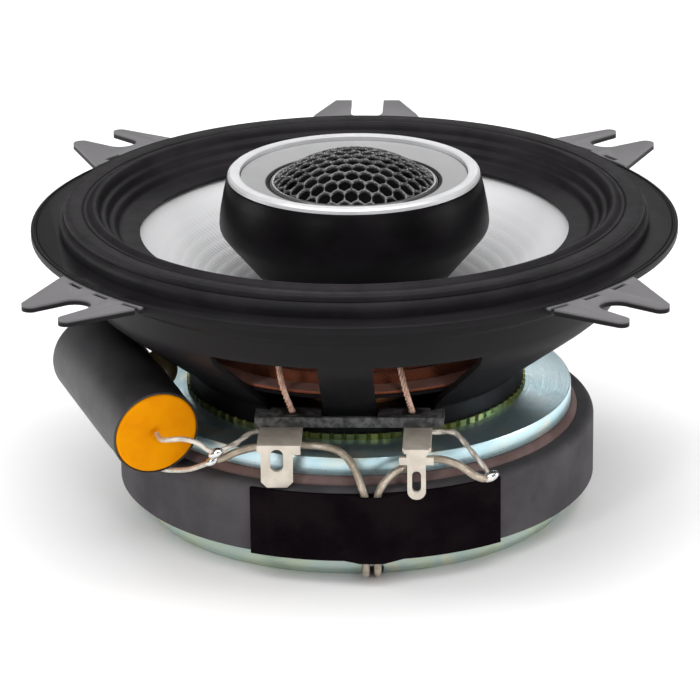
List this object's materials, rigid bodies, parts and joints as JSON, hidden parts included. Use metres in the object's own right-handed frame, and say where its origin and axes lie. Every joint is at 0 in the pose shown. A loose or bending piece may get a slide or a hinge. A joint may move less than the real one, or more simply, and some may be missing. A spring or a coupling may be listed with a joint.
{
  "type": "coaxial car speaker",
  "caption": "Flush-mount coaxial car speaker: pressed basket with fork tabs, dimpled cone in a ribbed rubber surround, post-mounted tweeter, ferrite motor and a film capacitor crossover.",
  "frame": {"origin": "on the speaker's axis, at the underside of the flange where it meets the panel", "axes": "+Z along the axis towards the listener, -Y towards the terminals, +Y towards the pair of square tabs"},
  "size_m": [0.101, 0.1144, 0.0571],
  "materials": {
    "black_paint": "satin black stoved paint on pressed steel",
    "chromate_zinc": "yellow-green chromate over zinc",
    "zinc_plate": "clear zinc plating with a blue-green tint",
    "ferrite": "ground and raw sintered ferrite",
    "boot_rubber": "matt moulded rubber",
    "felt": "black adhesive felt",
    "surround_rubber": "satin moulded rubber",
    "spider_cloth": "resin-treated woven cotton",
    "cone_fibre": "light grey woven fibre under clear resin, dimpled",
    "coil_former": "amber polyimide film",
    "copper_wire": "enamelled copper wire",
    "cement": "black rubbery cement",
    "black_plastic": "fine-textured black moulding",
    "plated_hardware": "plated steel",
    "brass_insert": "turned brass",
    "bright_trim": "bright satin metal",
    "silver_plastic": "fine silver-grey lacquer",
    "grille_steel": "gloss black expanded mesh",
    "silk": "coated silk",
    "board_fibre": "black vulcanised fibre with a grey cut edge",
    "tinned_brass": "dull tin plating over brass",
    "tinsel": "tinned copper braid",
    "sleeve_pvc": "satin black heat-shrink sleeve",
    "resin": "poured orange-yellow epoxy",
    "film": "wound metallised film",
    "bare_lead": "tinned copper",
    "solder": "bright solder",
    "amber_cement": "dried yellowish cement",
    "clear_insulation": "clear insulation over tinned strands"
  },
  "bodies": {
    "frame": {"basket": "black_paint", "seat_ring": "chromate_zinc", "top_plate": "zinc_plate", "magnet": "ferrite", "yoke": "chromate_zinc", "magnet_boot": "boot_rubber", "felt_patch": "felt", "gasket": "surround_rubber", "surround": "surround_rubber", "spider_ring": "black_paint", "spider": "spider_cloth", "tweeter_post": "black_plastic", "post_bolt": "plated_hardware", "post_insert": "brass_insert", "cup_screws": "plated_hardware", "tweeter_cup": "black_plastic", "tweeter_trim_ring": "bright_trim", "tweeter_faceplate": "silver_plastic", "tweeter_grille": "grille_steel", "tweeter_yoke": "plated_hardware", "tweeter_magnet": "plated_hardware", "tweeter_pole_plate": "plated_hardware", "tweeter_chassis": "black_plastic", "tweeter_surround": "silk", "tweeter_tags": "tinned_brass", "terminal_board": "board_fibre", "terminal_positive": "tinned_brass", "terminal_negative": "tinned_brass", "terminal_eyelets": "tinned_brass", "tinsel_lead_left": "tinsel", "tinsel_lead_right": "tinsel", "capacitor_sleeve": "sleeve_pvc", "capacitor_winding": "film", "capacitor_seals": "resin", "capacitor_lead_front": "bare_lead", "capacitor_lead_rear": "bare_lead", "capacitor_adhesive": "amber_cement", "positive_link": "clear_insulation", "negative_link": "clear_insulation", "solder_joints": "solder", "tweeter_wire_positive": "clear_insulation", "tweeter_wire_negative": "clear_insulation"},
    "cone_assembly": {"cone": "cone_fibre", "voice_coil_former": "coil_former", "voice_coil_winding": "copper_wire", "cone_lead_anchors": "cement"},
    "dome_assembly": {"tweeter_dome": "silk", "tweeter_coil_former": "coil_former", "tweeter_coil_winding": "copper_wire"}
  },
  "joints": [
    {"name": "cone_stroke", "type": "slide", "parent": "frame", "child": "cone_assembly", "axis": [0, 0, 1], "range_m": [-0.003, 0.003], "stiffness_N_per_m": 1500, "deforming": ["surround", "spider", "tinsel_lead_left", "tinsel_lead_right"]},
    {"name": "tweeter_stroke", "type": "slide", "parent": "frame", "child": "dome_assembly", "axis": [0, 0, 1], "range_m": [-0.0003, 0.0003], "stiffness_N_per_m": 1000, "deforming": ["tweeter_surround"]}
  ]
}
